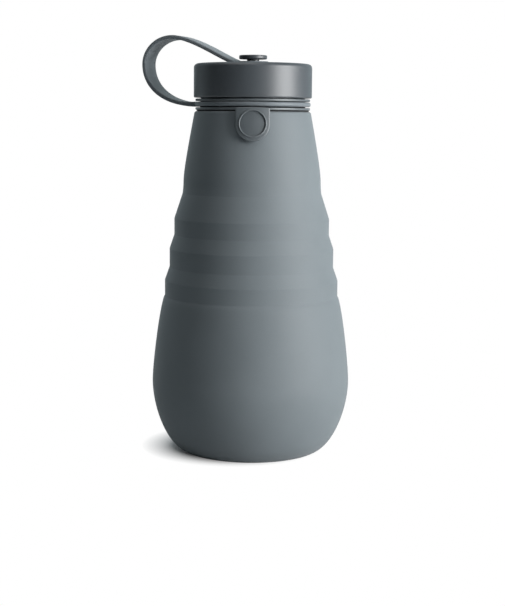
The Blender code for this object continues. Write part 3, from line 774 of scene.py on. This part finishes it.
def makeRibbon(name, route):
    # the route's line pulled to the strap's width, given its thickness, its long edges rounded
    half = strap["width"] / 2
    ribbon = traceOutline(name, route, closed=False, side=-half)
    bpy.ops.mesh.select_all(action="SELECT")
    bpy.ops.mesh.extrude_region_move(TRANSFORM_OT_translate={"value": (0, strap["width"], 0)})
    bpy.ops.object.mode_set(mode="OBJECT")
    applyModifier(ribbon, "SOLIDIFY", thickness=strap["thickness"], offset=0, use_even_offset=True)
    editPiece(ribbon, "EDGE")
    bpy.ops.mesh.edges_select_sharp(sharpness=math.radians(60))
    bpy.ops.object.mode_set(mode="OBJECT")
    verts = ribbon.data.vertices
    for edge in ribbon.data.edges:
        first, second = (verts[index].co for index in edge.vertices)
        alongSide = abs(first.y - second.y) < near["side"]
        acrossEdge = any(isAcross(first, second, end) for end in (route[0], route[-1]))
        edge.select = edge.select and alongSide and not acrossEdge
    bpy.ops.object.mode_set(mode="EDIT")
    bpy.ops.mesh.bevel(offset=strap["edgeRounding"], segments=trace["bevelSteps"], affect="EDGES")
    bpy.ops.mesh.select_all(action="SELECT")
    bpy.ops.mesh.normals_make_consistent(inside=False)
    bpy.ops.object.mode_set(mode="OBJECT")
    return ribbon


def thinEnd(ribbon, reach, centreHeight, share):
    # the strap's end made thinner or thicker towards the round it runs into
    editPiece(ribbon)
    selectVerts(ribbon, lambda place: place.x < reach and abs(place.z - centreHeight) < near["end"])
    bpy.ops.transform.resize(value=(1, 1, share), center_override=(0, 0, centreHeight))
    bpy.ops.object.mode_set(mode="OBJECT")


def spinBand(name, inner, outer, middle, height, soft, steps=trace["spinSteps"]):
    # a flat ring round the axis, its outer edges rounder than its inner ones
    top = middle + height / 2
    base = middle - height / 2
    return spinOutline(name, [
        (outer, top, soft),
        (outer, base, soft),
        (inner, base, edges["fine"]),
        (inner, top, edges["fine"]),
    ], steps=steps)


def makeStrap():
    eye, _, _, ring = strapPlaces()
    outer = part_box("neck_collar")[1].x
    piece = makeRibbon("carryStrap", strapRoute())
    eyeEnd = strap["eyeThickness"] - strap["eyeSink"]
    thinEnd(piece, strap["eyeRadius"] + strap["eyeReach"], eye[1], eyeEnd / strap["thickness"])
    steps = strap["rootSteps"]
    flare = (strap["rootThickness"] / strap["thickness"]) ** (1 / steps)
    for step in range(steps):
        thinEnd(piece, outer + strap["rootReach"] * (1 - step / steps), ring[1], flare)
    eyeBand = spinBand(
        "eye", strap["eyeHole"], strap["eyeRadius"], eye[1],
        strap["eyeThickness"], strap["eyeRounding"], steps=trace["smallSteps"],
    )
    combine(piece, eyeBand, "UNION")
    ringBand = spinBand(
        "ring", strap["ringBore"], outer, ring[1],
        strap["ringHeight"], strap["ringRounding"],
    )
    combine(piece, ringBand, "UNION")
    piece.rotation_euler.z = math.radians(strap["bearing"])
    pick(piece)
    bpy.ops.object.transform_apply()
    shadeSmooth(piece, degrees=35)
    return piece


# finishes

def srgb(red, green, blue):
    # a screen colour from 0 to 255 as a shader colour, by the sRGB curve
    channels = [value / 255 for value in (red, green, blue)]
    return [c / 12.92 if c <= 0.04045 else ((c + 0.055) / 1.055) ** 2.4 for c in channels] + [1]


def addNode(tree, kind, inputs, **settings):
    node = tree.nodes.new(kind)
    for setting, value in settings.items():
        setattr(node, setting, value)
    for socket, value in inputs.items():
        if isinstance(value, bpy.types.NodeSocket):
            tree.links.new(value, node.inputs[socket])
        else:
            node.inputs[socket].default_value = value
    return node


def newFinish(name):
    finish = bpy.data.materials.new(name)
    finish.use_nodes = True
    tree = finish.node_tree
    place = addNode(tree, "ShaderNodeTexCoord", {}).outputs["Object"]
    return finish, tree, tree.nodes["Principled BSDF"], place


def patch(tree, place, scale, detail=2.0, stretch=None):
    # noise at a scale per metre, stretched where the finish runs one way
    if stretch:
        place = addNode(tree, "ShaderNodeMapping", {"Vector": place, "Scale": stretch}).outputs["Vector"]
    noise = addNode(tree, "ShaderNodeTexNoise", {"Vector": place, "Scale": scale, "Detail": detail})
    return noise.outputs["Fac"]


def spread(tree, value, low, high, fromLow=0.3, fromHigh=0.7):
    inputs = {"Value": value, "From Min": fromLow, "From Max": fromHigh, "To Min": low, "To Max": high}
    return addNode(tree, "ShaderNodeMapRange", inputs).outputs["Result"]


def blendColours(tree, share, first, second):
    # sockets 6 and 7 of a mix node are its colours, and 2 and 3 are its numbers
    mix = addNode(tree, "ShaderNodeMix", {}, data_type="RGBA")
    tree.links.new(share, mix.inputs[0])
    for socket, colour in ((mix.inputs[6], first), (mix.inputs[7], second)):
        if isinstance(colour, bpy.types.NodeSocket):
            tree.links.new(colour, socket)
        else:
            socket.default_value = colour
    return mix.outputs[2]


def bump(tree, height, distance, strength, below=None):
    inputs = {"Height": height, "Distance": distance, "Strength": strength}
    if below:
        inputs["Normal"] = below
    return addNode(tree, "ShaderNodeBump", inputs).outputs["Normal"]


siliconeFinish = {
    "colour": (110, 118, 122),
    "darker": (106, 114, 118),
    "dust": (134, 141, 144),
    "dustShare": 0.10,
    "roughLow": 0.59,
    "roughHigh": 0.65,
    "specular": 0.35,
    "sheen": 0.12,
    "sheenRough": 0.45,
    "cloudScale": 45,            # scales are per metre
    "grainScale": 2600,
    "ringStretch": (6, 6, 900),  # the noise runs round the bottle
    "dustFrom": 0.52,            # of the grain's noise, where dust begins and is full
    "dustTo": 0.72,
    "rings": 0.25,               # strengths of the bumps, and their heights in metres
    "ringBump": 0.00002,
    "grain": 0.35,
    "grainBump": 0.00003,
}

strapFinish = dict(
    siliconeFinish, colour=(108, 115, 120), darker=(106, 113, 118), dustShare=0.02,
    roughLow=0.46, roughHigh=0.50, rings=0.0, grain=0.03,
)

sealFinish = dict(
    siliconeFinish, colour=(150, 154, 156), darker=(143, 147, 149), dustShare=0.0, rings=0.0,
)

# painted shade in the collar's groove and in the seat under its lower flange, where shade falls: painted
# near black
creaseShade = {
    "outer": 0.02705,    # painted shade: the collar is painted darker inwards from this radius
    "inner": 0.0267,
    "shade": (14, 15, 16),
    "depth": 0.0004,     # full from this far below the collar's top
    "start": 0.0002,     # and none above this
}

satinFinish = {
    "colour": (64, 70, 75),
    "darker": (59, 65, 70),
    "roughLow": 0.43,
    "roughHigh": 0.47,
    "specular": 0.8,
    "cloudScale": 70,
    "grainScale": 3200,
    "lineStretch": (5, 5, 1400),
    "lines": 0.05,
    "grain": 0.1,
    "bump": 0.00001,
}

collarFinish = dict(satinFinish, colour=(86, 93, 97), darker=(81, 88, 92))


def makeSilicone(name, values):
    # matte moulded skin: faint clouding, fine dust, a grain that breaks the shine and moulding rings
    finish, tree, shader, place = newFinish(name)
    clouds = patch(tree, place, values["cloudScale"], detail=3)
    grain = patch(tree, place, values["grainScale"], detail=3)
    rings = patch(tree, place, 1, stretch=values["ringStretch"])
    cloudy = spread(tree, clouds, 0, 1)
    colour = blendColours(tree, cloudy, srgb(*values["darker"]), srgb(*values["colour"]))
    dust = spread(tree, grain, 0, values["dustShare"], values["dustFrom"], values["dustTo"])
    colour = blendColours(tree, dust, colour, srgb(*values["dust"]))
    tree.links.new(colour, shader.inputs["Base Color"])
    roughness = spread(tree, clouds, values["roughLow"], values["roughHigh"])
    tree.links.new(roughness, shader.inputs["Roughness"])
    normal = bump(tree, rings, values["ringBump"], values["rings"])
    normal = bump(tree, grain, values["grainBump"], values["grain"], normal)
    tree.links.new(normal, shader.inputs["Normal"])
    shader.inputs["Specular IOR Level"].default_value = values["specular"]
    shader.inputs["Sheen Weight"].default_value = values["sheen"]
    shader.inputs["Sheen Roughness"].default_value = values["sheenRough"]
    return finish


def creaseShadeShare(tree, place):
    # painted shade: 1 in the collar's groove and seat, 0 on its flanges, tab and top face
    flat = addNode(tree, "ShaderNodeVectorMath", {0: place, 1: (1, 1, 0)}, operation="MULTIPLY")
    radius = addNode(tree, "ShaderNodeVectorMath", {0: flat.outputs[0]}, operation="LENGTH")
    inside = spread(tree, radius.outputs["Value"], 1, 0, creaseShade["inner"], creaseShade["outer"])
    height = addNode(tree, "ShaderNodeSeparateXYZ", {"Vector": place}).outputs["Z"]
    top = collarHeights()[-1]
    below = spread(tree, height, 1, 0, top - creaseShade["depth"], top - creaseShade["start"])
    return addNode(tree, "ShaderNodeMath", {0: inside, 1: below}, operation="MULTIPLY").outputs[0]


def makeSatin(name, values, shadeCreases=False):
    # moulded plastic with a fine even grain and faint turned lines, and for the collar painted shade in its
    # groove and seat
    finish, tree, shader, place = newFinish(name)
    clouds = patch(tree, place, values["cloudScale"], detail=3)
    grain = patch(tree, place, values["grainScale"])
    lines = patch(tree, place, 1, stretch=values["lineStretch"])
    cloudy = spread(tree, clouds, 0, 1)
    colour = blendColours(tree, cloudy, srgb(*values["darker"]), srgb(*values["colour"]))
    roughness = spread(tree, lines, values["roughLow"], values["roughHigh"])
    if shadeCreases:
        # painted shade: the groove and seat painted near black, and made fully rough so that they show no
        # shine
        inside = creaseShadeShare(tree, place)
        colour = blendColours(tree, inside, colour, srgb(*creaseShade["shade"]))
        roughness = addNode(tree, "ShaderNodeMix", {0: inside, 2: roughness, 3: 1.0}).outputs[0]
    tree.links.new(colour, shader.inputs["Base Color"])
    tree.links.new(roughness, shader.inputs["Roughness"])
    normal = bump(tree, lines, values["bump"], values["lines"])
    normal = bump(tree, grain, values["bump"], values["grain"], normal)
    tree.links.new(normal, shader.inputs["Normal"])
    shader.inputs["Specular IOR Level"].default_value = values["specular"]
    return finish


def dress(piece, finish):
    piece.data.materials.clear()
    piece.data.materials.append(finish)


# the pieces, each in its finish, and the collar, sleeve, liner, lid shell and knob on their bodies of the
# frame

silicone = makeSilicone("bodySilicone", siliconeFinish)
strapSilicone = makeSilicone("strapSilicone", strapFinish)
sealSilicone = makeSilicone("sealSilicone", sealFinish)
satin = makeSatin("satinPlastic", satinFinish)
# the collar's satin, with painted shade in its groove and seat
collarSatinPaintedShade = makeSatin("collarSatinPaintedShade", collarFinish, shadeCreases=True)
print("finishes made")


def settle(piece, finish, slotName, bodyName, *nodes):
    dress(piece, finish)
    if bodyName:
        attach(piece, bodyName)
    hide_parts(*nodes)
    print(piece.name, "made:", len(piece.data.polygons), "faces")


bottleBody = makeBody()
bodyNodes = ["base_bowl", "shoulder"]
bodyNodes += ["fold_ring_%d" % number for number in (1, 2, 3)]
bodyNodes += ["fold_web_%d" % number for number in (1, 2, 3, 4)]
settle(bottleBody, silicone, "silicone", None, *bodyNodes)
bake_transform(bottleBody)

settle(makeCollar(), collarSatinPaintedShade, "satin_plastic", "neck", "neck_collar")
settle(makeSleeve(), satin, "satin_plastic", "neck", "neck_sleeve")
settle(makeLiner(), satin, "satin_plastic", "lid", "lid_liner")
settle(makeLidShell(), satin, "satin_plastic", "lid", "lid_shell")
settle(makeKnob(), satin, "satin_plastic", "lid", "lid_knob")
carryStrap = makeStrap()
settle(carryStrap, strapSilicone, "strap_silicone", None, "carry_strap", "strap_eye")
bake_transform(carryStrap)

dress(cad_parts["retaining_ring"], satin)
dress(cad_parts["lid_seal"], sealSilicone)
print("pieces in place")


# studio: white floor and backdrop, cool light from behind, a large softbox at the right, a weak one above

studio = {
    "floorLeft": (116, 126, 132),     # what it sends back to the bottle, darker and cooler at the left
    "floorRight": (235, 235, 235),
    "floorBlend": 0.15,               # from the middle to where each side's colour is full
    "floorWhite": (245, 245, 245),    # as seen, straight or in a glossy surface
    "floorGlow": 0.03,                # camera only, so that the lit floor is white and keeps its shadow
    "floorRadius": 1.4,
    "shadowMiddle": (-0.009, 0.005),  # the shadow lies to the left and a little back
    "shadowNear": 0.029,              # from here out the shadow fades into plain white
    "shadowFar": 0.0445,
    "surroundFront": 0.0,             # brightness of the room in front of the bottle
    "surroundLeft": 0.80,             # behind it at the left
    "surroundRight": 0.80,            # and behind it at the right
    "surroundSides": (-0.3, 0.6),     # how far to the right the change from left begins and ends
    "surroundBehind": (0.1, 0.75),    # how far back it begins and reaches full brightness
    "surroundColour": (232, 250, 255),
    "keyAzimuth": 64.2,               # degrees to the right of the camera
    "keyDistance": 1.2,
    "keyWidth": 0.80,
    "keyHeight": 0.75,
    "keyMiddle": 0.39,                # height of the softbox's middle
    "keyRadiance": 12.7,
    "topAzimuth": -30,
    "topDistance": 0.30,
    "topSize": 1.0,
    "topHeight": 1.2,
    "topRadiance": 1.56,
    "lampAim": (0, 0, 0.10),          # both softboxes face this place
}


def makeLamp(name, azimuth, distance, height, width, tall, radiance):
    angle = math.radians(azimuth)
    place = Vector((math.sin(angle) * distance, -math.cos(angle) * distance, height))
    lamp = bpy.data.lights.new(name, "AREA")
    lamp.shape = "RECTANGLE"
    lamp.size = width
    lamp.size_y = tall
    lamp.energy = radiance * math.pi * width * tall
    holder = bpy.data.objects.new(name, lamp)
    bpy.context.scene.collection.objects.link(holder)
    holder.location = place
    aim = Vector(studio["lampAim"]) - place
    holder.rotation_euler = aim.to_track_quat("-Z", "Y").to_euler()


def seenShare(tree, path):
    # 1 for what the camera sees, straight or through a clear surface
    rays = {0: path.outputs["Is Camera Ray"], 1: path.outputs["Is Transmission Ray"]}
    return addNode(tree, "ShaderNodeMath", rays, operation="MAXIMUM").outputs[0]


def makeFloor():
    deselectAll()
    steps = trace["smallSteps"]
    bpy.ops.mesh.primitive_circle_add(vertices=steps, radius=studio["floorRadius"], fill_type="TRIFAN")
    floor = bpy.context.active_object
    floor.name = "studioFloor"
    finish = bpy.data.materials.new("floorFinish")
    finish.use_nodes = True
    tree = finish.node_tree
    tree.nodes.clear()
    path = addNode(tree, "ShaderNodeLightPath", {})
    place = addNode(tree, "ShaderNodeTexCoord", {}).outputs["Object"]
    ends = {0: place, 1: (*studio["shadowMiddle"], 0)}
    away = addNode(tree, "ShaderNodeVectorMath", ends, operation="DISTANCE").outputs["Value"]
    fade = spread(tree, away, 0, 1, studio["shadowNear"], studio["shadowFar"])
    across = addNode(tree, "ShaderNodeSeparateXYZ", {"Vector": place}).outputs["X"]
    right = spread(tree, across, 0, 1, -studio["floorBlend"], studio["floorBlend"])
    paperColour = blendColours(tree, right, srgb(*studio["floorLeft"]), srgb(*studio["floorRight"]))
    paper = addNode(tree, "ShaderNodeBsdfDiffuse", {"Color": paperColour})
    white = addNode(tree, "ShaderNodeBsdfDiffuse", {"Color": srgb(*studio["floorWhite"])})
    glow = addNode(tree, "ShaderNodeEmission", {"Strength": studio["floorGlow"]})
    shadowed = addNode(tree, "ShaderNodeAddShader", {0: white.outputs[0], 1: glow.outputs[0]})
    plain = addNode(tree, "ShaderNodeEmission", {"Strength": 1.0})
    shown = addNode(tree, "ShaderNodeMixShader", {0: fade, 1: shadowed.outputs[0], 2: plain.outputs[0]})
    glossy = path.outputs["Is Glossy Ray"]
    mirrored = addNode(tree, "ShaderNodeMixShader", {0: glossy, 1: paper.outputs[0], 2: white.outputs[0]})
    seen = seenShare(tree, path)
    floorFace = addNode(tree, "ShaderNodeMixShader", {0: seen, 1: mirrored.outputs[0], 2: shown.outputs[0]})
    addNode(tree, "ShaderNodeOutputMaterial", {"Surface": floorFace.outputs[0]})
    dress(floor, finish)


def makeSurround():
    world = bpy.data.worlds.new("studioSurround")
    bpy.context.scene.world = world
    world.use_nodes = True
    tree = world.node_tree
    tree.nodes.clear()
    path = addNode(tree, "ShaderNodeLightPath", {})
    direction = addNode(tree, "ShaderNodeTexCoord", {}).outputs["Generated"]
    split = addNode(tree, "ShaderNodeSeparateXYZ", {"Vector": direction})
    left, right = studio["surroundLeft"], studio["surroundRight"]
    side = spread(tree, split.outputs["X"], left, right, *studio["surroundSides"])
    behind = spread(tree, split.outputs["Y"], 0, 1, *studio["surroundBehind"])
    room = addNode(tree, "ShaderNodeMix", {0: behind, 2: studio["surroundFront"], 3: side})
    seen = seenShare(tree, path)
    strength = addNode(tree, "ShaderNodeMix", {0: seen, 2: room.outputs[0], 3: 1.0}).outputs[0]
    colour = blendColours(tree, seen, srgb(*studio["surroundColour"]), (1, 1, 1, 1))
    light = addNode(tree, "ShaderNodeBackground", {"Color": colour, "Strength": strength})
    addNode(tree, "ShaderNodeOutputWorld", {"Surface": light.outputs[0]})


makeFloor()
makeSurround()
makeLamp(
    "keySoftbox", studio["keyAzimuth"], studio["keyDistance"], studio["keyMiddle"],
    studio["keyWidth"], studio["keyHeight"], studio["keyRadiance"],
)
makeLamp(
    "topSoftbox", studio["topAzimuth"], studio["topDistance"], studio["topHeight"],
    studio["topSize"], studio["topSize"], studio["topRadiance"],
)
print("studio lit")


# camera, at the photograph's viewing angle

view = {
    "distance": 0.650,
    "aside": 0.0007,
    "height": 0.1604,
    "pitch": 7.815,      # degrees down
    "roll": 0.494,       # degrees
    "lens": 80.6,
    "clipStart": 0.01,
}

cameraData = bpy.data.cameras.new("photoCamera")
cameraData.lens = view["lens"]
cameraData.clip_start = view["clipStart"]
camera = bpy.data.objects.new("photoCamera", cameraData)
bpy.context.scene.collection.objects.link(camera)
tilt = Matrix.Rotation(math.radians(90 - view["pitch"]), 4, "X")
lean = Matrix.Rotation(math.radians(view["roll"]), 4, "Z")
place = Matrix.Translation((view["aside"], -view["distance"], view["height"]))
camera.matrix_world = place @ tilt @ lean
bpy.context.scene.camera = camera
bpy.context.scene.view_settings.view_transform = "Standard"
